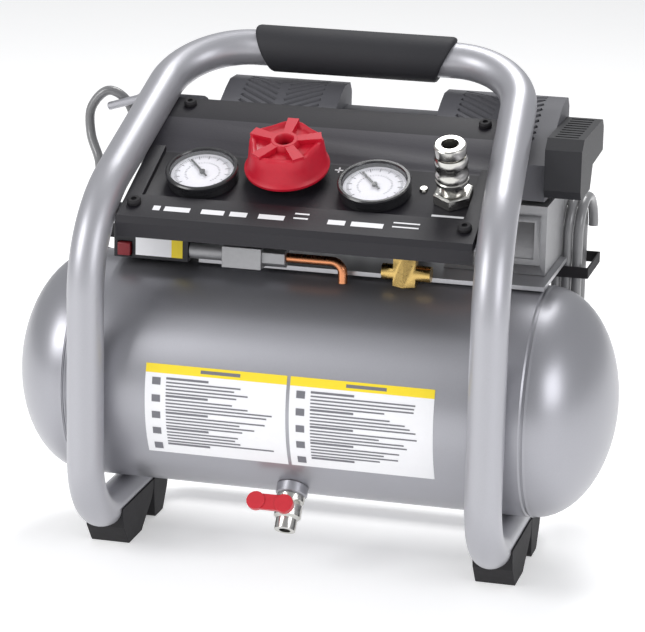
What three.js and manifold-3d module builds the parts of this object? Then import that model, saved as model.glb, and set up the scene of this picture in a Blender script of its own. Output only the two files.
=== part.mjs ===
// Portable twin-gauge air compressor on a bent tube frame. Millimetres, +Z up.
// X runs along the tank, Y to the back, z = 0 is the floor under the feet.
import * as THREE from 'three'
import { mergeVertices } from 'three/addons/utils/BufferGeometryUtils.js'
import Module from 'manifold-3d'

const GAP = 0.3
const TANK_R = 80
const TANK_WALL = 2
const TANK_Z = 122.4
const TANK_HALF = 160.4
const HEAD_DEPTH = 51.2
const TUBE_R = 12.7
const LEG_X = 139.4
const LEG_Y = -93
const RAIL_Z = 28.6
const KINK_Z = 246.2
const BAR_X = 123
const BAR_Y = 89.2
const BAR_Z = 338.8
const GRIP_R = 16.5
const GRIP_HALF = 70
const PANEL_TILT = 23.8 * Math.PI / 180
const PANEL_Y = -61.97
const PANEL_Z = 250.93
const GAUGE_R = 25
const DIAL_R = 21.8
const KNOB_R = 29
const KNOB_X = -19.5
const KNOB_V = 50
const COUPLER_X = 99
const COUPLER_V = 37
const DRAIN_ANGLE = 38 * Math.PI / 180
const MOTOR_Y = 60
const MOTOR_Z = 252
const MOTOR_R = 36
const CORD_R = 3.5

const wasm = await Module()
wasm.setup()
const group = new THREE.Group()
const V = (x, y, z) => new THREE.Vector3(x, y, z)

// One closed mesh, shared corners, no slivers, faces outward.
function clean(geometry) {
  const bare = geometry.clone()
  bare.deleteAttribute('normal')
  bare.deleteAttribute('uv')
  const welded = mergeVertices(bare, 1e-4)
  const old = welded.index.array
  const kept = []
  for (let i = 0; i < old.length; i += 3) {
    const [a, b, c] = [old[i], old[i + 1], old[i + 2]]
    if (a !== b && b !== c && a !== c) kept.push(a, b, c)
  }
  const p = welded.attributes.position
  let volume = 0
  for (let i = 0; i < kept.length; i += 3) {
    const corner = [0, 1, 2].map((k) => V(0, 0, 0).fromBufferAttribute(p, kept[i + k]))
    volume += corner[0].dot(corner[1].cross(corner[2]))
  }
  if (volume < 0) kept.reverse()
  welded.setIndex(kept)
  return welded
}

function solid(geometry) {
  const g = clean(geometry)
  const mesh = new wasm.Mesh({
    numProp: 3,
    vertProperties: new Float32Array(g.attributes.position.array),
    triVerts: new Uint32Array(g.index.array),
  })
  return new wasm.Manifold(mesh)
}

function unsolid(manifold) {
  const mesh = manifold.getMesh()
  const g = new THREE.BufferGeometry()
  g.setAttribute('position', new THREE.BufferAttribute(new Float32Array(mesh.vertProperties), 3))
  g.setIndex(new THREE.BufferAttribute(new Uint32Array(mesh.triVerts), 1))
  return g
}

// First geometry plus the joined ones, minus the cut ones.
function carve(base, joined, cut) {
  let body = solid(base)
  for (const g of joined) body = body.add(solid(g))
  for (const g of cut) body = body.subtract(solid(g))
  return unsolid(body)
}

// What is left of a plate after a cut, without the offcuts.
function biggest(base, cut) {
  const rest = solid(base).subtract(solid(cut)).decompose()
  return unsolid(rest.sort((a, b) => b.volume() - a.volume())[0])
}

function add(name, geometry, look) {
  const g = clean(geometry)
  g.computeVertexNormals()
  const mesh = new THREE.Mesh(g, look)
  mesh.name = name
  group.add(mesh)
}

function look(color, roughness, metalness) {
  return new THREE.MeshStandardMaterial({ color, roughness, metalness })
}

const block = (x0, x1, y0, y1, z0, z1) =>
  new THREE.BoxGeometry(x1 - x0, y1 - y0, z1 - z0)
    .translate((x0 + x1) / 2, (y0 + y1) / 2, (z0 + z1) / 2)

// A turned profile [radius, distance] standing on a point along a direction.
function turned(profile, at, dir, sides = 32) {
  const points = profile.map(([r, h]) => new THREE.Vector2(r, h))
  const g = new THREE.LatheGeometry(points, sides)
  const q = new THREE.Quaternion().setFromUnitVectors(V(0, 1, 0), dir.clone().normalize())
  return g.applyQuaternion(q).translate(at.x, at.y, at.z)
}

const rod = (a, b, r, sides = 20) =>
  turned([[0, 0], [r, 0], [r, a.distanceTo(b)], [0, a.distanceTo(b)]], a, b.clone().sub(a), sides)

function outline(points) {
  return new THREE.Shape(points.map(([a, b]) => new THREE.Vector2(a, b)))
}

// A (y, z) outline pulled along X.
function pulledX(points, x0, x1) {
  const g = new THREE.ExtrudeGeometry(outline(points), { depth: x1 - x0, bevelEnabled: false })
  const basis = new THREE.Matrix4().makeBasis(V(0, 1, 0), V(0, 0, 1), V(1, 0, 0))
  return g.applyMatrix4(basis).translate(x0, 0, 0)
}

function circle(r, sides) {
  const points = []
  for (let i = 0; i < sides; i++) {
    const a = 2 * Math.PI * i / sides
    points.push([r * Math.cos(a), r * Math.sin(a)])
  }
  return outline(points)
}

// A polyline whose points are used exactly, so bends keep their own spacing.
class Route extends THREE.Curve {
  constructor(points) {
    super()
    this.points = points
  }
  getPoint(t) {
    const last = this.points.length - 1
    const s = Math.min(t * last, last - 1e-9)
    const i = Math.floor(s)
    return this.points[i].clone().lerp(this.points[i + 1], s - i)
  }
  getPointAt(u) {
    return this.getPoint(u)
  }
  getSpacedPoints() {
    return this.points.map((p) => p.clone())
  }
  getTangentAt(u) {
    const last = this.points.length - 1
    const i = Math.round(u * last)
    const sum = V(0, 0, 0)
    if (i > 0) sum.add(this.points[i].clone().sub(this.points[i - 1]).normalize())
    if (i < last) sum.add(this.points[i + 1].clone().sub(this.points[i]).normalize())
    return sum.normalize()
  }
}

// Straight runs joined by true arcs of the given radii.
function bentPoints(corners, radii, steps = 7) {
  const points = [corners[0].clone()]
  for (let i = 1; i < corners.length - 1; i++) {
    const into = corners[i - 1].clone().sub(corners[i]).normalize()
    const out = corners[i + 1].clone().sub(corners[i]).normalize()
    const half = Math.acos(into.dot(out)) / 2
    const reach = radii[i - 1] / Math.tan(half)
    const middle = into.clone().add(out).normalize()
    const centre = corners[i].clone().addScaledVector(middle, radii[i - 1] / Math.sin(half))
    const from = corners[i].clone().addScaledVector(into, reach).sub(centre)
    const to = corners[i].clone().addScaledVector(out, reach).sub(centre)
    const angle = from.angleTo(to)
    for (let k = 0; k <= steps; k++) {
      const t = k / steps
      const a = Math.sin((1 - t) * angle) / Math.sin(angle)
      const b = Math.sin(t * angle) / Math.sin(angle)
      points.push(centre.clone().addScaledVector(from, a).addScaledVector(to, b))
    }
  }
  points.push(corners[corners.length - 1].clone())
  return points
}

function piped(points, r, sides = 16) {
  const options = { steps: points.length - 1, extrudePath: new Route(points), bevelEnabled: false }
  return new THREE.ExtrudeGeometry(circle(r, sides), options)
}

const silver = look(0xb2b0b8, 0.35, 0.7)
const steel = look(0xa8a8ac, 0.4, 0.85)
const nickel = look(0xc4c4c8, 0.25, 0.95)
const castAluminium = look(0xa4a4a6, 0.55, 0.6)
const blackPlastic = look(0x232028, 0.5, 0)
const greyPlastic = look(0x5f5f64, 0.55, 0)
const rubber = look(0x2a2828, 0.8, 0)
const redPlastic = look(0xc8142d, 0.4, 0)
const darkRed = look(0x7a1820, 0.5, 0)
const whiteDial = look(0xf0eef8, 0.6, 0)
const brass = look(0xb89448, 0.35, 0.9)
const copper = look(0xb4683c, 0.35, 0.9)
const cordGrey = look(0x3a3a3e, 0.5, 0)
const clear = new THREE.MeshStandardMaterial({
  color: 0xe8eef2, roughness: 0.05, metalness: 0, transparent: true, opacity: 0.3,
})

// Tank: one rolled shell and two domed heads.
const tankAxis = V(1, 0, 0)
add('tank_shell', turned([
  [TANK_R - TANK_WALL, 0],
  [TANK_R, 0],
  [TANK_R, 2 * TANK_HALF],
  [TANK_R - TANK_WALL, 2 * TANK_HALF],
  [TANK_R - TANK_WALL, 0],
], V(-TANK_HALF, 0, TANK_Z), tankAxis, 40), steel)
for (const [side, name] of [[-1, 'left'], [1, 'right']]) {
  const dome = []
  const hollow = []
  for (let i = 0; i <= 9; i++) {
    const a = Math.PI / 2 * i / 9
    dome.push([TANK_R * Math.cos(a), GAP + HEAD_DEPTH * Math.sin(a)])
    hollow.unshift([(TANK_R - TANK_WALL) * Math.cos(a), GAP + (HEAD_DEPTH - TANK_WALL) * Math.sin(a)])
  }
  dome[9][0] = 0
  hollow[0][0] = 0
  add('tank_head_' + name, turned([...dome, ...hollow, dome[0]],
    V(side * TANK_HALF, 0, TANK_Z), V(side, 0, 0), 40), steel)
}

// Frame: two bent side tubes that meet inside the grip, and a rear cross tube.
const sideTubes = []
const sideRoutes = []
for (const [side, name] of [[-1, 'left'], [1, 'right']]) {
  const corners = [
    V(side * LEG_X, 39.7, RAIL_Z),
    V(side * LEG_X, LEG_Y, RAIL_Z),
    V(side * LEG_X, LEG_Y, KINK_Z),
    V(side * BAR_X, BAR_Y, BAR_Z),
    V(side * GAP / 2, BAR_Y, BAR_Z),
  ]
  const points = bentPoints(corners, [50, 85, 55])
  sideRoutes.push(points)
  sideTubes.push(piped(points, TUBE_R + GAP))
  add('frame_tube_' + name, piped(points, TUBE_R), silver)
}
const rearRoute = bentPoints([
  V(-LEG_X, 40, RAIL_Z),
  V(-LEG_X, -LEG_Y, RAIL_Z),
  V(LEG_X, -LEG_Y, RAIL_Z),
  V(LEG_X, 40, RAIL_Z),
], [30, 30])
const rearClear = piped(rearRoute, TUBE_R + GAP)
add('frame_rear_tube', piped(rearRoute, TUBE_R), silver)
const tankClear = rod(V(-TANK_HALF, 0, TANK_Z), V(TANK_HALF, 0, TANK_Z), TANK_R + GAP, 64)
for (const [i, name] of [[0, 'left'], [1, 'right']]) {
  const x = (i ? 1 : -1) * LEG_X
  const bead = block(x - 8, x + 8, -88, -76, TANK_Z - 15, TANK_Z + 15)
  add('leg_weld_' + name, carve(bead, [], [sideTubes[i], tankClear]), silver)
}

// Hand grip: a thick rubber sleeve with slanted ends.
const bar = rod(V(-99, BAR_Y, BAR_Z), V(99, BAR_Y, BAR_Z), TUBE_R + GAP, 24)
const sleeve = turned([
  [0, 0],
  [GRIP_R - 2, 0],
  [GRIP_R, 3],
  [GRIP_R, 2 * GRIP_HALF - 3],
  [GRIP_R - 2, 2 * GRIP_HALF],
  [0, 2 * GRIP_HALF],
], V(-GRIP_HALF, BAR_Y, BAR_Z), tankAxis, 24)
add('handle_grip', carve(sleeve, [], [bar]), rubber)

// Four rubber feet, each cupping the underside of its tube.
const footSide = [
  [-52, 22], [-50, 15], [-40, 2], [-38, 0], [-9, 0], [-7, 2], [14, 17], [18, 24], [18, 30], [-52, 30],
]
const rearSide = [[19, 30], [19, 20], [21, 2], [23, 0], [40, 0], [42, 2], [51, 16], [53, 23], [53, 30]]
for (const [i, side, name] of [[0, -1, 'left'], [1, 1, 'right']]) {
  const x = side * LEG_X
  add('foot_front_' + name,
    carve(pulledX(footSide, x - 14, x + 14), [], [sideTubes[i]]), rubber)
  add('foot_rear_' + name,
    carve(pulledX(rearSide, x - 14, x + 14), [], [sideTubes[i], rearClear]), rubber)
}

// Drain: boss, ball valve and lever low on the front of the tank.
const down = V(0, -Math.sin(DRAIN_ANGLE), -Math.cos(DRAIN_ANGLE))
const pivot = V(0, -Math.cos(DRAIN_ANGLE), Math.sin(DRAIN_ANGLE))
const drainAt = (r) => V(-3, 0, TANK_Z).addScaledVector(down, r)
add('drain_boss', carve(turned([[0, 0], [11, 0], [11, 8], [9.5, 9], [0, 9]], drainAt(78.5), down),
  [], [tankClear]), steel)
const barrel = turned([
  [0, 0],
  [10, 0],
  [10, 4],
  [7.5, 5],
  [9.5, 7],
  [9.5, 15],
  [7.5, 17],
  [7.5, 25],
  [4, 25],
  [4, 17],
  [0, 17],
], drainAt(87.8), down, 24)
const neck = rod(drainAt(98.5), drainAt(98.5).addScaledVector(pivot, 11.5), 4.5)
add('drain_valve', carve(barrel, [neck], []), nickel)
const leverRoot = drainAt(98.5).addScaledVector(pivot, 11.8)
const leverFrame = new THREE.Matrix4().makeBasis(V(-1, 0, 0), down, pivot).setPosition(leverRoot)
const hub = new THREE.CylinderGeometry(6.5, 6.5, 5, 20).rotateX(Math.PI / 2).translate(0, 0, 2.5)
const blade = block(0, 19, -5.5, 5.5, 1, 4)
const tip = new THREE.CylinderGeometry(6.5, 6.5, 4, 16).rotateX(Math.PI / 2).translate(20, 0, 3)
add('drain_lever', carve(hub, [blade, tip], []).applyMatrix4(leverFrame), redPlastic)

// Control panel, drawn in its own frame: x, v up the slope, h off its face.
const slope = V(0, Math.cos(PANEL_TILT), Math.sin(PANEL_TILT))
const normal = V(0, -Math.sin(PANEL_TILT), Math.cos(PANEL_TILT))
const panelFrame = new THREE.Matrix4().makeBasis(V(1, 0, 0), slope, normal)
  .setPosition(V(0, PANEL_Y, PANEL_Z))
const onPanel = (x, v, h) => V(x, v, h).applyMatrix4(panelFrame)
const panelSection = [
  [-20, -10], [-19, 1], [-15, 4], [10, 4], [12, 0], [66, 0], [96, 9], [120, 9], [121, 4],
  [118, 4], [117, 6], [96.5, 6], [66.5, -3], [-13, -3], [-16, -10],
]
const panelBase = pulledX(panelSection, -123, 123)
const rail = pulledX([[66, -1.5], [68, 0.6], [96, 9], [120, 9], [120, 6.2], [96.5, 6]], -132, 132)
const cheeks = [
  block(-123, -112, 10, 68, -3, 4),
  block(112, 123, 10, 68, -3, 4),
]
const toPanel = new THREE.Matrix4().copy(panelFrame).invert()
const tubesOnPanel = sideTubes.map((g) => g.clone().applyMatrix4(toPanel))
const inside = block(-133, 133, -21, 122, -11, 12)
const body = solid(panelBase).add(solid(rail)).add(solid(cheeks[0])).add(solid(cheeks[1]))
  .intersect(solid(inside))
  .subtract(solid(tubesOnPanel[0]))
  .subtract(solid(tubesOnPanel[1]))
const largest = body.decompose().sort((a, b) => b.volume() - a.volume())[0]
add('control_panel', unsolid(largest).applyMatrix4(panelFrame), blackPlastic)

// Panel tabs under its corners, welded to the side tubes, and their bolts.
for (const [i, side, name] of [[0, -1, 'left'], [1, 1, 'right']]) {
  const front = block(side * 119 - 15, side * 119 + 15, -9, 9, -6.6, -3.4)
  add('panel_tab_front_' + name, biggest(front, tubesOnPanel[i]).applyMatrix4(panelFrame), silver)
  const back = block(side * 113 - 13, side * 113 + 13, 105, 116, 2.2, 5.6)
  add('panel_tab_back_' + name, biggest(back, tubesOnPanel[i]).applyMatrix4(panelFrame), silver)
  const head = (r, h) => [[0, 0], [r, 0], [r, h * 0.6], [r * 0.8, h], [r * 0.4, h], [r * 0.4, h * 0.5], [0, h * 0.5]]
  add('panel_bolt_front_' + name, turned(head(5, 3.5), onPanel(side * 114.5, 0, 4.3), normal, 12), nickel)
  add('panel_bolt_back_' + name, turned(head(4.6, 3.5), onPanel(side * 106, 112, 9.3), normal, 12), nickel)
}
add('panel_screw', turned([[0, 0], [3, 0], [2.4, 1.6], [0, 1.6]], onPanel(76.7, 45, 0.3), normal, 12), nickel)

// Two pressure gauges: case, dial, needle and lens.
for (const [name, x, v, turn] of [['left', -77, 38.4, 2.3], ['right', 44.3, 39.1, 2.3]]) {
  add('gauge_case_' + name, turned([
    [0, 0.3],
    [GAUGE_R, 0.3],
    [GAUGE_R, 8],
    [GAUGE_R - 1, 9],
    [DIAL_R + 0.5, 9],
    [DIAL_R + 0.5, 4],
    [0, 4],
  ], onPanel(x, v, 0), normal, 32), blackPlastic)
  add('gauge_dial_' + name, turned([[0, 4.3], [DIAL_R, 4.3], [DIAL_R, 5], [0, 5]],
    onPanel(x, v, 0), normal, 32), whiteDial)
  const pin = new THREE.CylinderGeometry(2, 2, 1.6, 12).rotateX(Math.PI / 2).translate(0, 0, 6.2)
  const needle = carve(pin, [block(-6, 17, -0.6, 0.6, 5.7, 6.5)], []).rotateZ(turn).translate(x, v, 0)
  add('gauge_needle_' + name, needle.applyMatrix4(panelFrame), redPlastic)
  add('gauge_lens_' + name, turned([[0, 7.4], [DIAL_R, 7.4], [DIAL_R, 8.4], [0, 8.4]],
    onPanel(x, v, 0), normal, 32), clear)
}

// Regulator: a short bonnet, a six-lobed knob and its screw.
add('regulator_bonnet', turned([[0, 0.3], [13, 0.3], [13, 5], [6, 5], [6, 14], [0, 14]],
  onPanel(KNOB_X, KNOB_V, 0), normal, 24), nickel)
const lobes = []
for (let i = 0; i < 60; i++) {
  const a = 2 * Math.PI * i / 60
  const r = KNOB_R - 6.5 + 4 * Math.cos(6 * a)
  lobes.push([r * Math.cos(a), r * Math.sin(a)])
}
const crown = new THREE.ExtrudeGeometry(outline(lobes), { depth: 18, bevelEnabled: false })
  .translate(KNOB_X, KNOB_V, 11)
const skirtProfile = [[0, 7], [KNOB_R, 7], [KNOB_R, 9], [KNOB_R - 6, 14], [0, 14]]
const skirt = turned(skirtProfile, V(KNOB_X, KNOB_V, 0), V(0, 0, 1), 36)
const socket = rod(V(KNOB_X, KNOB_V, 5), V(KNOB_X, KNOB_V, 16), 6.3)
const well = rod(V(KNOB_X, KNOB_V, 20), V(KNOB_X, KNOB_V, 35), 6)
add('regulator_knob', carve(crown, [skirt], [socket, well]).applyMatrix4(panelFrame), redPlastic)
add('knob_screw', turned([[0, 20.3], [5, 20.3], [5, 22.5], [3.5, 23.5], [0, 23.5]],
  onPanel(KNOB_X, KNOB_V, 0), normal, 16), rubber)

// Quick coupler: hex nut and body in one piece, and the pull-back sleeve.
const nut = turned([[0, 0.3], [14.2, 0.3], [14.2, 7.5], [12.5, 8.5], [0, 8.5]],
  onPanel(COUPLER_X, COUPLER_V, 0), normal, 6)
const socketBody = turned([
  [0, 8],
  [8, 8],
  [8, 38],
  [11, 38.5],
  [11, 45],
  [10, 46],
  [6, 46],
  [5.8, 45],
  [5.8, 20],
  [0, 20],
], onPanel(COUPLER_X, COUPLER_V, 0), normal, 24)
add('coupler_body', carve(nut, [socketBody], []), nickel)
add('coupler_sleeve', turned([
  [8.5, 15],
  [11.4, 15],
  [11.4, 35],
  [10.6, 37],
  [8.5, 37],
  [8.5, 15],
], onPanel(COUPLER_X, COUPLER_V, 0), normal, 32), nickel)

// Pump base plate on top of the tank.
add('pump_base_plate', block(-84, 160, -12, 78, 203.2, 206.2), steel)

// Motor: a ribbed open housing on two feet, with the fan on its shaft.
const ribs = [[MOTOR_R - 4, 0]]
for (let i = 0; i < 10; i++) {
  ribs.push([MOTOR_R, i * 16 + 0.5])
  ribs.push([MOTOR_R, i * 16 + 7.5])
  ribs.push([MOTOR_R - 2, i * 16 + 8.5])
  ribs.push([MOTOR_R - 2, i * 16 + 15.5])
}
ribs.push([MOTOR_R - 2, 160], [8, 160], [8, 156], [MOTOR_R - 4, 156], [MOTOR_R - 4, 0])
const motorShell = turned(ribs, V(-86, MOTOR_Y, MOTOR_Z), tankAxis, 28)
const motorFeet = [
  block(-62, -50, MOTOR_Y - 24, MOTOR_Y + 16, 206.5, 232),
  block(50, 62, MOTOR_Y - 24, MOTOR_Y + 16, 206.5, 232),
]
const motorHollow = rod(V(-90, MOTOR_Y, MOTOR_Z), V(70, MOTOR_Y, MOTOR_Z), MOTOR_R - 4, 32)
add('motor_housing', carve(motorShell, motorFeet, [motorHollow]), blackPlastic)
const shaft = rod(V(-84, MOTOR_Y, MOTOR_Z), V(72, MOTOR_Y, MOTOR_Z), 5)
const fan = [rod(V(-84, MOTOR_Y, MOTOR_Z), V(-72, MOTOR_Y, MOTOR_Z), 10)]
for (let i = 0; i < 7; i++) {
  const vane = block(-6, 6, -1.2, 1.2, 8, 29).rotateZ(0.5).rotateX(2 * Math.PI * i / 7)
  fan.push(vane.translate(-78, MOTOR_Y, MOTOR_Z))
}
add('motor_fan', carve(shaft, fan, []), greyPlastic)

// Pump casting: crankcase with a raised window frame and a finned cylinder.
const fins = []
for (let i = 0; i < 4; i++) {
  fins.push(rod(V(118, 54, 259 + 5 * i), V(118, 54, 261 + 5 * i), 29))
}
add('pump_casting', carve(block(84, 155, 18, 84, 206.5, 255), [
  rod(V(118, 54, 250), V(118, 54, 281), 26, 28),
  block(126, 151, 15.5, 19, 214, 248),
  ...fins,
], [
  block(130, 147, 14, 17, 218, 244),
]), castAluminium)

// Shrouds over both pump heads: sloped tops with chevron cooling slots.
function hood(y0, y1, z0, z1, round) {
  const points = [[y0, z0]]
  for (const [cy, cz, from] of [[y0 + round, z1 - round, Math.PI], [y1 - round, z1 - round, Math.PI / 2]]) {
    for (let i = 0; i <= 5; i++) {
      const a = from - Math.PI / 2 * i / 5
      points.push([cy + round * Math.cos(a), cz + round * Math.sin(a)])
    }
  }
  points.push([y1, z0])
  return points
}
const slopedHood = (inset, z0) => [
  [20 + inset, z0],
  [20 + inset, 283 - inset],
  [73 + inset * 0.5, 311.5 - inset],
  [84, 316 - inset],
  [100 - inset * 0.5, 316 - inset],
  [105.4 - inset, 309 - inset * 0.5],
  [105.4 - inset, z0],
]
const motorRoom = rod(V(-90, MOTOR_Y, MOTOR_Z), V(80, MOTOR_Y, MOTOR_Z), MOTOR_R + 0.6, 32)
for (const [name, x0, x1] of [['left', -91, -6], ['right', 66.3, 152.3]]) {
  const middle = (x0 + x1) / 2
  const cuts = [pulledX(slopedHood(3, 250), x0 + 3, x1 - 3), motorRoom]
  for (let i = 0; i < 10; i++) {
    for (const side of [-1, 1]) {
      const slot = block(0, 30, -1.3, 1.3, 280, 320).rotateZ(side > 0 ? 0.5 : Math.PI - 0.5)
      cuts.push(slot.translate(middle + side * 3, 31 + 5.6 * i, 0))
    }
  }
  add('shroud_' + name, carve(pulledX(slopedHood(0, 258), x0, x1), [], cuts), greyPlastic)
}
add('bridge_cover', carve(pulledX(hood(50, 102, 288.6, 301, 9), -5.6, 65.9), [], [
  pulledX(hood(53, 99, 280, 298, 6), -2.6, 62.9),
  motorRoom,
]), greyPlastic)
const louvres = []
for (let i = 0; i < 9; i++) louvres.push(block(157, 173, 24 + 8 * i, 27 + 8 * i, 296, 309))
const fanOutline = [
  [16, 262], [52, 262], [60, 278], [102, 280], [102, 297], [96, 303], [20, 303], [12, 296], [12, 268],
]
const fanPocket = [
  [18, 266], [49, 266], [57, 282], [98, 284], [98, 295], [94, 299.5], [21, 299.5], [15.5, 294], [15.5, 270],
]
add('fan_cover', carve(pulledX(fanOutline, 152.6, 178), [], [
  pulledX(fanPocket, 150, 175),
  ...louvres,
]), blackPlastic)
add('intake_filter', turned([
  [0, 0],
  [4.5, 0],
  [4.5, 10],
  [12, 11],
  [13, 13],
  [13, 32],
  [11, 34],
  [0, 34],
], V(-91.3, 62, 293), V(-1, 0, 0), 28), greyPlastic)

// Air lines: check valve, delivery pipe, line valve and its pipe to the tank.
add('check_valve', carve(rod(V(66, -22, 202.2), V(66, -22, 224), 9, 6), [
  rod(V(66, -22, 222), V(66, -22, 232), 5.5),
  rod(V(84, -22, 211), V(50, -22, 211), 5.5),
], []), brass)
const delivery = bentPoints([V(66, -22, 232.3), V(66, -22, 247), V(102, -22, 247), V(102, 17.6, 247)],
  [12, 12], 5)
add('delivery_pipe', piped(delivery, 4.8, 12), copper)
const linePipe = bentPoints([V(-17.5, -22, 214.5), V(22, -22, 214.5), V(22, -22, 199.9)], [8], 6)
add('line_pipe', piped(linePipe, 3.4, 12), copper)
add('line_valve', carve(rod(V(-86.6, -22, 214.5), V(-60, -22, 214.5), 6), [
  block(-62, -34, -31, -13, 206, 221),
  rod(V(-36, -22, 214.5), V(-17.8, -22, 214.5), 7.4, 6),
  rod(V(-48, -22, 219), V(-48, -22, 227), 5),
], []), nickel)
// Pressure switch box with its on-off button.
add('switch_box', carve(block(-141, -87, -28, 26, 206.5, 234), [
  block(-141, -95.4, -5, 23, 203.2, 207),
], [block(-138, -128, -36, -18, 208, 218)]), blackPlastic)
add('power_switch', block(-137.5, -128.5, -31, -18.4, 208.5, 217.5), darkRed)

// Cord: relief, hook, run over the tank's shoulder, tied hank and plug.
const shoulder = (x, degrees) => {
  const a = degrees * Math.PI / 180
  const r = TANK_R + CORD_R + 2.2
  return V(x, r * Math.sin(a), TANK_Z + r * Math.cos(a))
}
const cordWaypoints = [
  V(-170.2, 8, 216),
  V(-175, 8.4, 216.3),
  V(-181, 26, 222),
  V(-181, 52, 232),
  V(-187, 76, 248),
  V(-197, 86, 267),
  V(-198, 90, 286),
  V(-186, 92, 299),
  V(-172, 95, 291),
  V(-164, 97, 268),
  V(-157, 97, 240),
  V(-146, 92, 208),
  V(-132, 80, 184),
  shoulder(-105, 52),
  shoulder(-60, 52),
  shoulder(0, 52),
  shoulder(60, 52),
  shoulder(90, 52),
  V(116, 75, 178),
  V(131, 84, 184),
  V(136.4, 87, 190),
]
const cordCurve = new THREE.CatmullRomCurve3(cordWaypoints, false, 'centripetal')
add('power_cord', piped(cordCurve.getSpacedPoints(72), CORD_R, 10), cordGrey)
add('strain_relief', turned([
  [0, 0],
  [7, 0],
  [7, 3],
  [5.5, 5],
  [4.2, 27],
  [0, 27],
], V(-141.3, 8, 216), V(-1, 0, 0), 16), rubber)
const hankY = 109
const hankX0 = 139.8
const hankX1 = 173
const hankLow = 122
const hankHigh = 247
const hankR = 24.5
const stadium = []
for (let i = 0; i <= 12; i++) {
  const a = Math.PI * i / 12
  stadium.push([hankY + hankR * Math.cos(a), hankHigh - hankR + hankR * Math.sin(a)])
}
for (let i = 0; i <= 12; i++) {
  const a = Math.PI + Math.PI * i / 12
  stadium.push([hankY + hankR * Math.cos(a), hankLow + hankR + hankR * Math.sin(a)])
}
add('cord_hank', pulledX(stadium, hankX0, hankX1), cordGrey)
add('cord_tie', carve(block(hankX0 - 1.6, hankX1 + 1.6, 83, 135, 190, 198), [], [
  block(hankX0 - 0.4, hankX1 + 0.4, 84.1, 133.9, 188, 200),
]), rubber)
add('power_plug', carve(block(158, 180, 121, 140, 78, 112), [
  rod(V(169.2, 130, 111), V(169.2, 130, 120.5), 5, 16),
  block(163, 165, 127, 133, 60, 79),
  block(173, 175, 127, 133, 60, 79),
  rod(V(169, 124.5, 62), V(169, 124.5, 79), 2.6, 12),
], []), rubber)
const hookRoute = bentPoints([V(-134, 62, 322), V(-158, 82, 297), V(-184, 90, 288)], [14], 5)
add('cord_hook', carve(piped(hookRoute, 3, 10), [], [sideTubes[0]]), silver)

export default group
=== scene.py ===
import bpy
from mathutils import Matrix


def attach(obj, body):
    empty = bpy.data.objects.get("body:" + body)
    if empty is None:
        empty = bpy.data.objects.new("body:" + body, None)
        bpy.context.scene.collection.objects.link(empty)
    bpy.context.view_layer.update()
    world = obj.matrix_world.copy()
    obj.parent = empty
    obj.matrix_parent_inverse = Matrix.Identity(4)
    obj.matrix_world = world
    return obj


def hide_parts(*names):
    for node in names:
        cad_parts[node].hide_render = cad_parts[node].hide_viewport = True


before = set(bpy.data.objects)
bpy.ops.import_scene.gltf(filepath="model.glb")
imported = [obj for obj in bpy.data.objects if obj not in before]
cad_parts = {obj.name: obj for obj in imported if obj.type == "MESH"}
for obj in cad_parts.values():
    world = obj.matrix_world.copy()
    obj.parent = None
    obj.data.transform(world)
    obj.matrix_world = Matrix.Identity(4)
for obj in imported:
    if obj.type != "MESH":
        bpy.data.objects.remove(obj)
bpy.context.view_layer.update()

import math
import random

import bmesh
import bpy
from mathutils import Matrix, Vector

# ---- Camera -----------------------------------------------------------
# A long lens a little above the handle, turned slightly to the right end
# of the tank, with a small roll.
turn = math.radians(14.32)
rise = math.radians(15.25)
roll = math.radians(1.29)
distance = 2.0323
target = Vector((0.00274, 0.0, 0.16896))
forward = Vector((
    -math.sin(turn) * math.cos(rise), math.cos(turn) * math.cos(rise), -math.sin(rise)))
right = Vector((math.cos(turn), math.sin(turn), 0.0))
up = right.cross(forward)
camera_x = right * math.cos(roll) + up * math.sin(roll)
camera_y = up * math.cos(roll) - right * math.sin(roll)
lens = bpy.data.cameras.new("long_lens")
lens.sensor_width = 36.0
lens.lens = 162.748
camera = bpy.data.objects.new("camera", lens)
bpy.context.scene.collection.objects.link(camera)
camera.matrix_world = Matrix.Translation(target - forward * distance) @ Matrix(
    (camera_x, camera_y, -forward)).transposed().to_4x4()
bpy.context.scene.camera = camera


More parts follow.
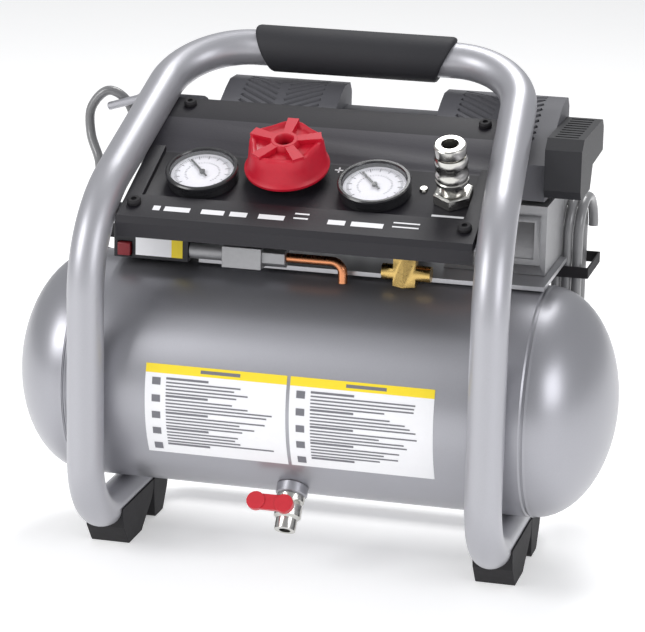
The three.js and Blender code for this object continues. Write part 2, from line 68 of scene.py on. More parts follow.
# ---- Power cord -------------------------------------------------------
# Round rubber mains lead, 7 mm thick and 1.8 m long. It leaves the switch
# box, loops over a hook, lies on the tank and ends in a tied hank.
def coat(name, colour, rough, metal=0.0, grain=300.0, mottle=0.06, relief=0.05, shine=0.0):
    """A finish with fine grain: colour, gloss and relief all vary a little."""
    finish = bpy.data.materials.new(name)
    finish.use_nodes = True
    tree = finish.node_tree
    shader = tree.nodes["Principled BSDF"]
    shader.inputs["Metallic"].default_value = metal
    shader.inputs["Coat Weight"].default_value = shine
    shader.inputs["Coat Roughness"].default_value = 0.2
    place = tree.nodes.new("ShaderNodeTexCoord")
    noise = tree.nodes.new("ShaderNodeTexNoise")
    noise.inputs["Scale"].default_value = grain
    noise.inputs["Detail"].default_value = 5.0
    tree.links.new(place.outputs["Object"], noise.inputs["Vector"])
    tone = tree.nodes.new("ShaderNodeMix")
    tone.data_type = "RGBA"
    tone.inputs["A"].default_value = [c * (1 - mottle) for c in colour] + [1]
    tone.inputs["B"].default_value = [min(1, c * (1 + mottle)) for c in colour] + [1]
    tree.links.new(noise.outputs["Fac"], tone.inputs["Factor"])
    tree.links.new(tone.outputs["Result"], shader.inputs["Base Color"])
    gloss = tree.nodes.new("ShaderNodeMapRange")
    gloss.inputs["To Min"].default_value = max(0.02, rough - 0.06)
    gloss.inputs["To Max"].default_value = min(1.0, rough + 0.06)
    tree.links.new(noise.outputs["Fac"], gloss.inputs["Value"])
    tree.links.new(gloss.outputs["Result"], shader.inputs["Roughness"])
    if relief:
        bump = tree.nodes.new("ShaderNodeBump")
        bump.inputs["Strength"].default_value = relief
        bump.inputs["Distance"].default_value = 0.0004
        tree.links.new(noise.outputs["Fac"], bump.inputs["Height"])
        tree.links.new(bump.outputs["Normal"], shader.inputs["Normal"])
    return finish


def made(name, points, faces, finish, sharp=35.0):
    """A mesh piece with outward faces, smooth except at its sharp edges."""
    mesh = bpy.data.meshes.new(name)
    mesh.from_pydata([tuple(p) for p in points], [], faces)
    work = bmesh.new()
    work.from_mesh(mesh)
    bmesh.ops.remove_doubles(work, verts=work.verts, dist=1e-6)
    bmesh.ops.recalc_face_normals(work, faces=work.faces)
    work.to_mesh(mesh)
    work.free()
    mesh.materials.append(finish)
    mesh.polygons.foreach_set("use_smooth", [True] * len(mesh.polygons))
    mesh.set_sharp_from_angle(angle=math.radians(sharp))
    piece = bpy.data.objects.new(name, mesh)
    bpy.context.scene.collection.objects.link(piece)
    return piece


def tube(name, path, radius, finish, sides=16):
    """A round tube along a path, its section carried along without twist."""
    heading = (path[1] - path[0]).normalized()
    side = heading.orthogonal().normalized()
    points, faces = [], []
    for i, centre in enumerate(path):
        before = path[max(i - 1, 0)]
        after = path[min(i + 1, len(path) - 1)]
        heading = (after - before).normalized()
        side = (side - heading * side.dot(heading)).normalized()
        other = heading.cross(side)
        for k in range(sides):
            a = 2 * math.pi * k / sides
            points.append(centre + (side * math.cos(a) + other * math.sin(a)) * radius)
    for i in range(len(path) - 1):
        for k in range(sides):
            n = (k + 1) % sides
            faces.append((i * sides + k, i * sides + n, (i + 1) * sides + n, (i + 1) * sides + k))
    faces.append(tuple(range(sides)))
    faces.append(tuple((len(path) - 1) * sides + k for k in range(sides)))
    return made(name, points, faces, finish)


cord_length = 1.8
cord_width = 0.007
tank_radius = 0.080
tank_height = 0.1224
cord_clearance = 0.0022


def on_shoulder(x):
    """A place on the back shoulder of the tank, where the cord lies."""
    lean = math.radians(52)
    reach = tank_radius + cord_width / 2 + cord_clearance
    return (x, reach * math.sin(lean), tank_height + reach * math.cos(lean))


cord_stops = [Vector(p) for p in (
    (-0.1702, 0.008, 0.216), (-0.175, 0.0084, 0.2163), (-0.181, 0.026, 0.222), (-0.181, 0.052, 0.232),
    (-0.187, 0.076, 0.248), (-0.197, 0.086, 0.267), (-0.198, 0.090, 0.286), (-0.186, 0.092, 0.299),
    (-0.172, 0.095, 0.291), (-0.164, 0.097, 0.268), (-0.157, 0.097, 0.240), (-0.146, 0.092, 0.208),
    (-0.132, 0.080, 0.184), on_shoulder(-0.105), on_shoulder(-0.06), on_shoulder(0.0),
    on_shoulder(0.06), on_shoulder(0.09), (0.116, 0.075, 0.178), (0.132, 0.085, 0.186),
    (0.1405, 0.0878, 0.2), (0.1435, 0.088, 0.214))]


def through(stops, steps=8):
    """A smooth line through the stops."""
    line = []
    for i in range(len(stops) - 1):
        a = stops[max(i - 1, 0)]
        b, c = stops[i], stops[i + 1]
        d = stops[min(i + 2, len(stops) - 1)]
        for k in range(steps):
            t = k / steps
            line.append(0.5 * (2 * b + (c - a) * t + (2 * a - 5 * b + 4 * c - d) * t * t
                               + (3 * b - a - 3 * c + d) * t ** 3))
    return line + [stops[-1]]


def long(line):
    """The length of a line."""
    return sum((line[i + 1] - line[i]).length for i in range(len(line) - 1))


cord_line = through(cord_stops)
hank_radius = 0.021
hank_pitch = 0.0074
hank_turns = 3.5
hank_top = 0.2225
hank_y = 0.109
# The straight runs take up what is left of the cord after its bends.
tail = 0.004
hank_rise = hank_top - cord_stops[-1].z
bent_length = hank_turns * 2 * math.pi * hank_radius
left_over = cord_length - long(cord_line) - tail - bent_length - hank_rise
run = left_over / (2 * hank_turns - 1)
hank_bottom = hank_top - run
steps_per_bend = 14
hank_x = 0.1435
bends = int(2 * hank_turns)
for bend in range(bends):
    over = bend % 2 == 0
    for k in range(steps_per_bend + 1):
        a = math.pi * k / steps_per_bend
        drift = hank_x + hank_pitch * (bend + k / steps_per_bend) / 2
        y = hank_y - hank_radius * math.cos(a) * (1 if over else -1)
        z = hank_bottom - hank_radius * math.sin(a)
        if over:
            z = hank_top + hank_radius * math.sin(a)
        cord_line.append(Vector((drift, y, z)))
cord_line.append(cord_line[-1] + Vector((0, 0, -run - tail)))
spare = cord_length - long(cord_line)
cord_line[-1] = cord_line[-1] + Vector((0, 0, -spare))
cord_rubber = coat("cord_rubber", (0.20, 0.20, 0.205), 0.30, grain=500, shine=0.5)
cord = tube("power_lead", cord_line, cord_width / 2, cord_rubber, 14)
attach(cord, "compressor")
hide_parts("power_cord", "cord_hank")


# ---- Cord ends --------------------------------------------------------
# Moulded rubber: a tapered strain relief at the box, a strap round the
# hank, and a three-pin plug at the far end.
def merged_copy(node, finish, edge=0.0, sharp=35.0):
    """A welded copy of a CAD node with its own finish and eased edges."""
    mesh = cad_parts[node].data.copy()
    work = bmesh.new()
    work.from_mesh(mesh)
    bmesh.ops.remove_doubles(work, verts=work.verts, dist=2e-6)
    bmesh.ops.dissolve_limit(work, angle_limit=math.radians(1), verts=work.verts, edges=work.edges)
    work.to_mesh(mesh)
    work.free()
    mesh.materials.clear()
    mesh.materials.append(finish)
    mesh.polygons.foreach_set("use_smooth", [True] * len(mesh.polygons))
    mesh.set_sharp_from_angle(angle=math.radians(sharp))
    piece = bpy.data.objects.new(node + "_look", mesh)
    bpy.context.scene.collection.objects.link(piece)
    if edge:
        bevel = piece.modifiers.new("eased_edges", "BEVEL")
        bevel.width = edge
        bevel.segments = 2
        bevel.limit_method = "ANGLE"
        bevel.angle_limit = math.radians(40)
    return piece


def dressed(node, body, finish, edge=0.0, sharp=35.0):
    """The copy rides on its body and stands for its node."""
    piece = merged_copy(node, finish, edge, sharp)
    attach(piece, body)
    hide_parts(node)
    return piece


black_rubber = coat("black_rubber", (0.007, 0.006, 0.008), 0.72, grain=260, mottle=0.15, relief=0.12)
dressed("strain_relief", "compressor", black_rubber, 0.0006)
dressed("cord_tie", "compressor", black_rubber, 0.0004)
plug = dressed("power_plug", "compressor", black_rubber, 0.0012)


# ---- Tank -------------------------------------------------------------
# Rolled steel shell with two pressed heads pushed over joggled edges and
# seam welded, painted silver all over.
def turned(name, profile, at, axis, finish, sides=96, sharp=35.0):
    """A profile of (radius, distance) pairs spun round an axis."""
    axis = Vector(axis).normalized()
    side = axis.orthogonal().normalized()
    other = axis.cross(side)
    at = Vector(at)
    points, faces = [], []
    for r, h in profile:
        for k in range(sides):
            a = 2 * math.pi * k / sides
            points.append(at + axis * h + (side * math.cos(a) + other * math.sin(a)) * max(r, 0.0))
    for i in range(len(profile) - 1):
        for k in range(sides):
            n = (k + 1) % sides
            faces.append((i * sides + k, i * sides + n, (i + 1) * sides + n, (i + 1) * sides + k))
    ring = profile[0] == profile[-1]
    if profile[0][0] > 1e-5 and not ring:
        faces.append(tuple(range(sides)))
    if profile[-1][0] > 1e-5 and not ring:
        faces.append(tuple((len(profile) - 1) * sides + k for k in range(sides)))
    return made(name, points, faces, finish, sharp)


silver_paint = coat("silver_paint", (0.37, 0.37, 0.40), 0.38, 0.72, grain=900, mottle=0.05,
                    relief=0.04, shine=0.25)
seam = 0.1604
head_depth = 0.0512
tank_profile = []
for i in range(17):
    a = math.pi / 2 * i / 16
    tank_profile.append((tank_radius * math.sin(a), -seam - 0.0003 - head_depth * math.cos(a)))
tank_profile += [(0.0800, -seam - 0.003), (0.0804, -seam - 0.0012), (0.0792, -seam),
                 (0.0792, -seam + 0.001), (0.0800, -seam + 0.0022)]
tank_profile += [(r, -h) for r, h in reversed(tank_profile)]
tank = turned("tank", tank_profile, (0, 0, tank_height), (1, 0, 0), silver_paint, 128, 25)
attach(tank, "compressor")
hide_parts("tank_shell", "tank_head_left", "tank_head_right")
for side in ("left", "right"):
    dressed("leg_weld_" + side, "compressor", silver_paint)

# ---- Tank label -------------------------------------------------------
# A printed white film in two panels with yellow header bands. The rows of
# small print are plain grey bars.
label_white = coat("label_white", (0.82, 0.82, 0.84), 0.45, grain=200, mottle=0.02, relief=0.0)
label_yellow = coat("label_yellow", (0.86, 0.66, 0.02), 0.45, grain=200, mottle=0.03, relief=0.0)
print_grey = coat("print_grey", (0.16, 0.16, 0.18), 0.5, grain=200, mottle=0.1, relief=0.0)


def film(x0, x1, z0, z1, lift, points, faces, across=1, tall=1):
    """A patch of thin film wrapped on the front of the tank."""
    first = len(points)
    for layer in (lift, lift - 0.00008):
        for i in range(across + 1):
            for k in range(tall + 1):
                x = x0 + (x1 - x0) * i / across
                lean = math.asin((z0 + (z1 - z0) * k / tall - tank_height) / tank_radius)
                r = tank_radius + layer
                points.append((x, -r * math.cos(lean), tank_height + r * math.sin(lean)))
    row = tall + 1
    sheet = (across + 1) * row
    for i in range(across):
        for k in range(tall):
            a = first + i * row + k
            faces.append((a, a + row, a + row + 1, a + 1))
            faces.append((a + sheet + 1, a + sheet + row + 1, a + sheet + row, a + sheet))
    ring = [first + i * row for i in range(across + 1)]
    ring += [first + across * row + k for k in range(1, tall + 1)]
    ring += [first + i * row + tall for i in range(across - 1, -1, -1)]
    ring += [first + k for k in range(tall - 1, 0, -1)]
    for i, a in enumerate(ring):
        b = ring[(i + 1) % len(ring)]
        faces.append((a, a + sheet, b + sheet, b))


for name, finish, parts in (
        ("label_sheet", label_white, [(-0.101, -0.0012, 0.0815, 0.1405, 0.00022),
                                      (0.0012, 0.101, 0.0815, 0.1405, 0.00022)]),
        ("label_bands", label_yellow, [(-0.101, -0.0012, 0.1405, 0.1465, 0.00024),
                                       (0.0012, 0.101, 0.1405, 0.1465, 0.00024)])):
    points, faces = [], []
    for x0, x1, z0, z1, lift in parts:
        film(x0, x1, z0, z1, lift, points, faces, 6, 10)
    piece = made(name, points, faces, finish)
    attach(piece, "compressor")
draw = random.Random(4)
top_row, row_pitch = 0.1365, 0.0024
points, faces = [], []
for start in (-0.096, 0.006):
    film(start + 0.034, start + 0.062, 0.1424, 0.1446, 0.0004, points, faces)
    for row in range(21):
        z = top_row - row * row_pitch
        heading_row = row % 5 == 0
        if not heading_row:
            ends = start + 0.010 + draw.uniform(0.045, 0.078)
            film(start + 0.010, ends, z, z + 0.0010, 0.0004, points, faces, 2)
        else:
            film(start + 0.010, start + 0.040, z, z + 0.0015, 0.0004, points, faces)
            film(start, start + 0.006, z - 0.004, z + 0.001, 0.0004, points, faces)
small_print = made("label_print", points, faces, print_grey)
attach(small_print, "compressor")


# ---- Tube frame -------------------------------------------------------
# One inch steel tube, bent into a hoop that is leg, side rail and handle
# in one, closed by a cross tube behind the tank. Silver powder coat.
def bent(corners, radii, steps=22):
    """Straight runs joined by true arcs."""
    line = [Vector(corners[0])]
    for i in range(1, len(corners) - 1):
        corner = Vector(corners[i])
        into = (Vector(corners[i - 1]) - corner).normalized()
        out = (Vector(corners[i + 1]) - corner).normalized()
        half = into.angle(out) / 2
        reach = radii[i - 1] / math.tan(half)
        centre = corner + (into + out).normalized() * radii[i - 1] / math.sin(half)
        first = corner + into * reach - centre
        last = corner + out * reach - centre
        angle = first.angle(last)
        for k in range(steps + 1):
            t = k / steps
            line.append(centre + first * (math.sin((1 - t) * angle) / math.sin(angle))
                        + last * (math.sin(t * angle) / math.sin(angle)))
    line.append(Vector(corners[-1]))
    return line


tube_radius = 0.0127
frame_paint = coat("frame_paint", (0.43, 0.43, 0.46), 0.42, 0.6, grain=1200, mottle=0.05,
                   relief=0.05, shine=0.3)
leg_x, leg_y, rail_z = 0.1394, -0.093, 0.0286
bar_x, bar_y, bar_z = 0.123, 0.0892, 0.3388
kink_z = 0.2462
joint_y = 0.04
hoop_line = bent([
    (-leg_x, joint_y, rail_z), (-leg_x, leg_y, rail_z), (-leg_x, leg_y, kink_z),
    (-bar_x, bar_y, bar_z), (bar_x, bar_y, bar_z),
    (leg_x, leg_y, kink_z), (leg_x, leg_y, rail_z), (leg_x, joint_y, rail_z),
], [0.050, 0.085, 0.055, 0.055, 0.085, 0.050])
hoop = tube("frame_hoop", hoop_line, tube_radius, frame_paint, 40)
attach(hoop, "compressor")
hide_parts("frame_tube_left", "frame_tube_right")
cross_line = bent([(-leg_x, joint_y, rail_z), (-leg_x, -leg_y, rail_z), (leg_x, -leg_y, rail_z),
                   (leg_x, joint_y, rail_z)], [0.030, 0.030])
cross = tube("frame_cross_tube", cross_line, tube_radius, frame_paint, 40)
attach(cross, "compressor")
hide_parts("frame_rear_tube")

# ---- Hand grip --------------------------------------------------------
# Foam-rubber sleeve pushed over the top bar, with slanted, rounded ends
# and a fine grain.
grip_radius = 0.0165
grip_half = 0.0665
grip_slant = 0.0062
ring_sides = 48
points, faces = [], []
outline = [(0.0131, 0.0), (0.0150, 0.0), (0.0160, 0.0008), (grip_radius, 0.0024)]
profile = [(r, -grip_half + h) for r, h in outline] + [(grip_radius, -0.03), (grip_radius, 0.03)]
profile += [(r, grip_half - h) for r, h in reversed(outline)]
for r, h in profile:
    for k in range(ring_sides):
        a = 2 * math.pi * k / ring_sides
        slant = grip_slant * math.sin(a) * (h / grip_half) if abs(h) > 0.04 else 0.0
        points.append((h + slant, bar_y - r * math.cos(a), bar_z + r * math.sin(a)))
count = len(profile)
for i in range(count):
    for k in range(ring_sides):
        n = (k + 1) % ring_sides
        j = (i + 1) % count
        faces.append((i * ring_sides + k, i * ring_sides + n, j * ring_sides + n, j * ring_sides + k))
grip_rubber = coat("grip_rubber", (0.018, 0.018, 0.022), 0.68, grain=420, mottle=0.2, relief=0.35)
grip = made("hand_grip", points, faces, grip_rubber, 50)
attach(grip, "compressor")
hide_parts("handle_grip")

# ---- Feet -------------------------------------------------------------
# Moulded rubber blocks that cup the underside of the bottom tubes.
for corner in ("front_left", "front_right", "rear_left", "rear_right"):
    dressed("foot_" + corner, "compressor", black_rubber, 0.0012)

# ---- Drain valve ------------------------------------------------------
# A plated ball valve screwed into a welded boss, with a short lever in a
# red vinyl sleeve.
nickel = coat("nickel_plate", (0.60, 0.59, 0.56), 0.22, 1.0, grain=700, mottle=0.05, relief=0.04)
red_vinyl = coat("red_vinyl", (0.55, 0.008, 0.022), 0.35, grain=300, mottle=0.08, relief=0.05, shine=0.3)
dressed("drain_boss", "compressor", silver_paint, 0.0004)
dressed("drain_valve", "compressor", nickel, 0.0003)
dressed("drain_lever", "drain_lever", red_vinyl, 0.0006)

# ---- Control panel ----------------------------------------------------
# A folded sheet panel in black crackle paint, bolted to four tabs on the
# side tubes. Its printing is left as plain light bars and a plus mark.
panel_tilt = math.radians(23.8)
slope = Vector((0, math.cos(panel_tilt), math.sin(panel_tilt)))
out = Vector((0, -math.sin(panel_tilt), math.cos(panel_tilt)))
panel_base = Vector((0, -0.06197, 0.25093))


def on_panel(x, v, h):
    """A point on the panel: across, up the slope and off its face, in mm."""
    return panel_base + Vector((x / 1000, 0, 0)) + slope * v / 1000 + out * h / 1000


panel_black = coat("panel_black", (0.006, 0.005, 0.009), 0.56, grain=800, mottle=0.2, relief=0.18)
panel_satin = coat("panel_satin", (0.036, 0.034, 0.042), 0.45, grain=800, mottle=0.15, relief=0.15)
panel = dressed("control_panel", "compressor", panel_black, 0.0008)
panel.data.materials.append(panel_satin)
for face in panel.data.polygons:
    if face.normal.dot(out) > 0.8 and face.normal.dot(slope) < -0.15:
        face.material_index = 1
for side in ("left", "right"):
    for row in ("front", "back"):
        dressed(f"panel_tab_{row}_{side}", "compressor", frame_paint)
        dressed(f"panel_bolt_{row}_{side}", "compressor", black_rubber, 0.0002)
dressed("panel_screw", "compressor", nickel)
mark_white = coat("mark_white", (0.78, 0.78, 0.80), 0.5, grain=200, mottle=0.03, relief=0.0)
marks = [(11, 17, 59.4, 60.6, 0.05), (13.4, 14.6, 57, 63, 0.05)]
marks += [(x0, x1, -6.5, -1.5, 4.05) for x0, x1 in (
    (-100, -95), (-92, -74), (-66, -50), (-46, -34), (-26, -8), (22, 34), (38, 60))]
marks += [(-2, 8, 1.5, 3.0, 4.05), (-2, 8, -3.5, -2.0, 4.05), (66, 84, 0.5, 1.8, 4.05),
          (66, 84, -4.0, -2.7, 4.05), (88, 110, 16.5, 18.5, 0.05)]
box_faces = ((0, 3, 2, 1), (4, 5, 6, 7), (0, 1, 5, 4), (1, 2, 6, 5), (2, 3, 7, 6), (3, 0, 4, 7))
points, faces = [], []
for x0, x1, v0, v1, h in marks:
    first = len(points)
    for lift in (h, h + 0.12):
        for x, v in ((x0, v0), (x1, v0), (x1, v1), (x0, v1)):
            points.append(on_panel(x, v, lift))
    for face in box_faces:
        faces.append(tuple(first + i for i in face))
panel_marks = made("panel_marks", points, faces, mark_white)
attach(panel_marks, "compressor")

# ---- Pressure gauges --------------------------------------------------
# Two dials in black cases under a flat clear lens. The scale is three
# open rings of short and long strokes on each dial.
dial_white = coat("dial_white", (0.84, 0.83, 0.88), 0.5, grain=150, mottle=0.02, relief=0.0)
case_black = coat("case_black", (0.016, 0.016, 0.018), 0.25, grain=400, mottle=0.1, relief=0.03,
                  shine=0.4)
lens_clear = bpy.data.materials.new("lens_clear")
lens_clear.use_nodes = True
shader = lens_clear.node_tree.nodes["Principled BSDF"]
shader.inputs["Base Color"].default_value = (0.9, 0.93, 0.95, 1)
shader.inputs["Roughness"].default_value = 0.04
shader.inputs["Alpha"].default_value = 0.07
shader.inputs["Specular IOR Level"].default_value = 0.25


def strokes_tree():
    """Short strokes repeated round an open arc of a dial."""
    tree = bpy.data.node_groups.new("dial_strokes", "GeometryNodeTree")
    sockets = {}
    for label, kind, value in (("Strokes", "NodeSocketInt", 41),
                               ("Ring radius", "NodeSocketFloat", 0.018),
                               ("Stroke length", "NodeSocketFloat", 0.0024),
                               ("Stroke width", "NodeSocketFloat", 0.0004),
                               ("Finish", "NodeSocketMaterial", None)):
        socket = tree.interface.new_socket(name=label, in_out="INPUT", socket_type=kind)
        if value is not None:
            socket.default_value = value
        sockets[label] = socket.identifier
    tree.interface.new_socket(name="Geometry", in_out="OUTPUT", socket_type="NodeSocketGeometry")
    add = tree.nodes.new
    given = add("NodeGroupInput")
    arc = add("GeometryNodeCurveArc")
    arc.mode = "RADIUS"
    arc.inputs["Start Angle"].default_value = math.radians(-45)
    arc.inputs["Sweep Angle"].default_value = math.radians(270)
    spaced = add("GeometryNodeCurveToPoints")
    spaced.mode = "COUNT"
    stroke = add("GeometryNodeMeshCube")
    size = add("ShaderNodeCombineXYZ")
    size.inputs["Z"].default_value = 0.00012
    scatter = add("GeometryNodeInstanceOnPoints")
    solid = add("GeometryNodeRealizeInstances")
    paint = add("GeometryNodeSetMaterial")
    given_out = add("NodeGroupOutput")
    link = tree.links.new
    link(given.outputs["Ring radius"], arc.inputs["Radius"])
    link(arc.outputs["Curve"], spaced.inputs["Curve"])
    link(given.outputs["Strokes"], spaced.inputs["Count"])
    link(given.outputs["Stroke width"], size.inputs["X"])
    link(given.outputs["Stroke length"], size.inputs["Y"])
    link(size.outputs["Vector"], stroke.inputs["Size"])
    link(spaced.outputs["Points"], scatter.inputs["Points"])
    link(stroke.outputs["Mesh"], scatter.inputs["Instance"])
    angles = add("FunctionNodeAlignRotationToVector")
    angles.axis = "Y"
    place = add("GeometryNodeInputPosition")
    link(place.outputs["Position"], angles.inputs["Vector"])
    link(angles.outputs["Rotation"], scatter.inputs["Rotation"])
    link(scatter.outputs["Instances"], solid.inputs["Geometry"])
    link(solid.outputs["Geometry"], paint.inputs["Geometry"])
    link(given.outputs["Finish"], paint.inputs["Material"])
    link(paint.outputs["Geometry"], given_out.inputs["Geometry"])
    return tree, sockets


dial_tree, dial_sockets = strokes_tree()
for side, x, v in (("left", -77, 38.4), ("right", 44.3, 39.1)):
    dressed("gauge_case_" + side, "compressor", case_black, 0.0004)
    dressed("gauge_dial_" + side, "compressor", dial_white)
    dressed("gauge_needle_" + side, "needle_" + side, case_black)
    dressed("gauge_lens_" + side, "compressor", lens_clear, 0.0003)
    seat = Matrix.Translation(on_panel(x, v, 5.08)) @ Matrix(
        (Vector((1, 0, 0)), slope, out)).transposed().to_4x4()
    for ring, (amount, radius, length, width) in enumerate((
            (61, 0.0186, 0.0018, 0.00030), (13, 0.0179, 0.0036, 0.00060),
            (31, 0.0118, 0.0014, 0.00035))):
        maker = bpy.data.objects.new("stroke_maker", bpy.data.meshes.new("stroke_maker"))
        bpy.context.scene.collection.objects.link(maker)
        modifier = maker.modifiers.new("strokes", "NODES")
        modifier.node_group = dial_tree
        for label, value in (
                ("Strokes", amount), ("Ring radius", radius), ("Stroke length", length),
                ("Stroke width", width), ("Finish", print_grey)):
            modifier[dial_sockets[label]] = value
        ready = maker.evaluated_get(bpy.context.evaluated_depsgraph_get())
        mesh = bpy.data.meshes.new_from_object(ready)
        bpy.data.objects.remove(maker)
        mesh.transform(seat)
        scale = bpy.data.objects.new(f"gauge_scale_{side}_{ring}", mesh)
        bpy.context.scene.collection.objects.link(scale)
        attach(scale, "compressor")
    bezel = turned(f"gauge_bezel_{side}", [
        (0.0221, 0.0086), (0.0226, 0.0094), (0.0243, 0.0094), (0.0252, 0.0086), (0.0252, 0.0060),
        (0.0250, 0.0056), (0.02502, 0.0086), (0.0241, 0.0091), (0.0228, 0.0091), (0.0221, 0.0086)],
        on_panel(x, v, 0), out, case_black, 72)
    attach(bezel, "compressor")

# ---- Regulator knob ---------------------------------------------------
# A red moulded knob: a flared base, five shallow scallops and a spoked top
# round a sunk screw.
knob_x, knob_v = -19.5, 50.0
rings = [
    (7, 28.0, 0), (7.2, 29.2, 0), (9, 29.4, 0), (10, 28.6, 0.1), (12, 27.4, 0.4), (20, 26.2, 0.9),
    (25, 25.4, 1.3), (27.6, 24.4, 1.3), (28.4, 22.9, 1.1), (27.8, 21.2, 0.8), (26.2, 19.8, 0.4),
    (25.8, 18.0, 0), (25.8, 10.6, 0), (29.0, 9.8, 0), (30.2, 8.9, 0), (30.2, 6.8, 0),
    (29.2, 6.0, 0), (20.6, 6.0, 0), (20.6, 0.0, 0)]
around = 180
points, faces = [], []
for h, r, depth in rings:
    for k in range(around):
        a = 2 * math.pi * k / around
        wave = math.cos(5 * a - math.pi / 2 * 5)
        lobe = depth * (wave if wave > 0 else 1.25 * wave)
        points.append(on_panel(
            knob_x + (r + lobe) * math.cos(a), knob_v + (r + lobe) * math.sin(a), h))
for i in range(len(rings) - 1):
    for k in range(around):
        n = (k + 1) % around
        faces.append((i * around + k, i * around + n, (i + 1) * around + n, (i + 1) * around + k))
faces.append(tuple(range(around)))
red_knob = coat("red_knob", (0.52, 0.004, 0.022), 0.45, grain=350, mottle=0.08, relief=0.06)
knob = made("red_regulator_knob", points, faces, red_knob, 40)
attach(knob, "regulator_knob")
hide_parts("regulator_knob")
points, faces = [], []
for spoke in range(5):
    a = 2 * math.pi * spoke / 5 + math.pi / 2
    along = (math.cos(a), math.sin(a))
    first = len(points)
    for h in (25.6, 29.9):
        for r, w in ((8.6, -3.0), (25.4, -4.0), (25.4, 4.0), (8.6, 3.0)):
            points.append(on_panel(
                knob_x + r * along[0] - w * along[1], knob_v + r * along[1] + w * along[0], h))
    for face in box_faces:
        faces.append(tuple(first + i for i in face))
spokes = made("knob_spokes", points, faces, red_knob)
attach(spokes, "regulator_knob")
dressed("knob_screw", "regulator_knob", black_rubber, 0.0003)
dressed("regulator_bonnet", "compressor", nickel)

# ---- Quick coupler ----------------------------------------------------
# A plated steel coupler on a hexagon nut. Its sleeve pulls back against a
# spring and has a rolled grip.
dressed("coupler_body", "compressor", nickel, 0.0002)
sleeve = turned("coupler_pull_sleeve", [
    (0.0086, 0.0150), (0.0106, 0.0150), (0.0114, 0.0156), (0.0114, 0.0180), (0.0107, 0.0186),
    (0.0107, 0.0200), (0.0114, 0.0206), (0.0114, 0.0232), (0.0110, 0.0238), (0.0110, 0.0300),
    (0.0114, 0.0306), (0.0114, 0.0346), (0.0106, 0.0368), (0.0086, 0.0368), (0.0086, 0.0150)],
    on_panel(99, 37, 0), out, nickel, 64)
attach(sleeve, "coupler_sleeve")
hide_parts("coupler_sleeve")

# ---- Pump and motor ---------------------------------------------------
# Cast pump body, ribbed motor and its fan on a pressed plate, under grey
# moulded shrouds with chevron slots.
cast_metal = coat("cast_metal", (0.40, 0.40, 0.41), 0.5, 0.85, grain=300, mottle=0.12, relief=0.3)
shroud_grey = coat("shroud_grey", (0.115, 0.115, 0.128), 0.6, grain=600, mottle=0.08, relief=0.15)
black_plastic = coat("black_plastic", (0.012, 0.012, 0.015), 0.5, grain=500, mottle=0.12, relief=0.1)
plate_steel = coat("plate_steel", (0.50, 0.50, 0.52), 0.35, 0.8, grain=500, mottle=0.08, relief=0.06)
dressed("pump_base_plate", "compressor", plate_steel)
dressed("pump_casting", "compressor", cast_metal)
dressed("motor_housing", "compressor", black_plastic)
dressed("motor_fan", "motor_fan", shroud_grey)
dressed("shroud_left", "compressor", shroud_grey)
dressed("shroud_right", "compressor", shroud_grey)
dressed("bridge_cover", "compressor", shroud_grey)
dressed("fan_cover", "compressor", black_plastic)
dressed("intake_filter", "compressor", shroud_grey, 0.0008)

# ---- Air lines --------------------------------------------------------
# Brass check valve on the tank, a copper delivery pipe to the pump, and
# a dull cast line valve with its copper pipe down to the tank.
brass = coat("brass", (0.62, 0.43, 0.15), 0.28, 1.0, grain=500, mottle=0.08, relief=0.05)
copper = coat("copper", (0.66, 0.27, 0.13), 0.26, 1.0, grain=500, mottle=0.1, relief=0.04)
dressed("check_valve", "compressor", brass, 0.0003)
dressed("delivery_pipe", "compressor", copper)
dressed("line_pipe", "compressor", copper)
dressed("line_valve", "compressor", cast_metal, 0.0004)

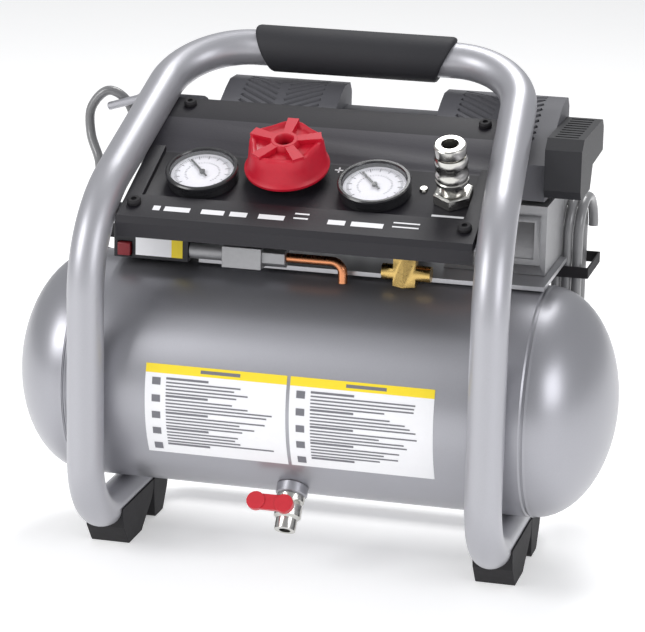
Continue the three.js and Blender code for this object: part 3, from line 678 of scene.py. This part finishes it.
# ---- Switch box -------------------------------------------------------
# Black moulded box with a dark red button and a plain rating film: a
# white field with a yellow strip.
dark_red = coat("dark_red", (0.20, 0.012, 0.018), 0.4, grain=300, mottle=0.08, relief=0.04)
dressed("switch_box", "compressor", black_plastic, 0.0008)
dressed("power_switch", "power_switch", dark_red, 0.0006)
dressed("cord_hook", "compressor", frame_paint)
film_foot, film_head = 0.209, 0.2315
for name, finish, x0, x1 in (
        ("box_film", label_white, -0.125, -0.099), ("box_strip", label_yellow, -0.099, -0.091)):
    corners = ((x0, film_foot), (x1, film_foot), (x1, film_head), (x0, film_head))
    points = [(x, y, z) for y in (-0.0281, -0.02825) for x, z in corners]
    faces = [(0, 1, 2, 3), (7, 6, 5, 4), (0, 4, 5, 1), (1, 5, 6, 2), (2, 6, 7, 3), (3, 7, 4, 0)]
    piece = made(name, points, faces, finish)
    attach(piece, "compressor")

# ---- Floor and light --------------------------------------------------
# A pale flat floor under soft studio light: one large key, a fill and a top.
floor_white = coat("floor_white", (0.90, 0.90, 0.90), 0.7, grain=20, mottle=0.005, relief=0.0)
floor = made("floor", [(-4, -4, 0), (4, -4, 0), (4, 4, 0), (-4, 4, 0)], [(0, 1, 2, 3)], floor_white)
glow = floor_white.node_tree.nodes["Principled BSDF"]
glow.inputs["Emission Color"].default_value = (1, 1, 1, 1)
glow.inputs["Emission Strength"].default_value = 0.35
for name, spot, size, power, tint in (
        ("key", (-1.5, -1.5, 1.3), 1.1, 26, (1, 1, 1)), ("fill", (1.8, -1.2, 1.0), 1.1, 16, (0.98, 0.98, 1)),
        ("top", (0.1, 0.9, 1.9), 0.9, 20, (1, 1, 1))):
    light = bpy.data.lights.new(name, "AREA")
    light.size = size
    light.energy = power
    light.color = tint
    lamp = bpy.data.objects.new(name, light)
    bpy.context.scene.collection.objects.link(lamp)
    lamp.location = spot
    lamp.rotation_euler = (Vector((0, 0, 0.18)) - Vector(spot)).to_track_quat("-Z", "Y").to_euler()
world = bpy.data.worlds.new("studio")
world.use_nodes = True
world.node_tree.nodes["Background"].inputs["Color"].default_value = (0.93, 0.94, 0.96, 1)
world.node_tree.nodes["Background"].inputs["Strength"].default_value = 0.48
bpy.context.scene.world = world
bpy.context.scene.view_settings.view_transform = "Standard"
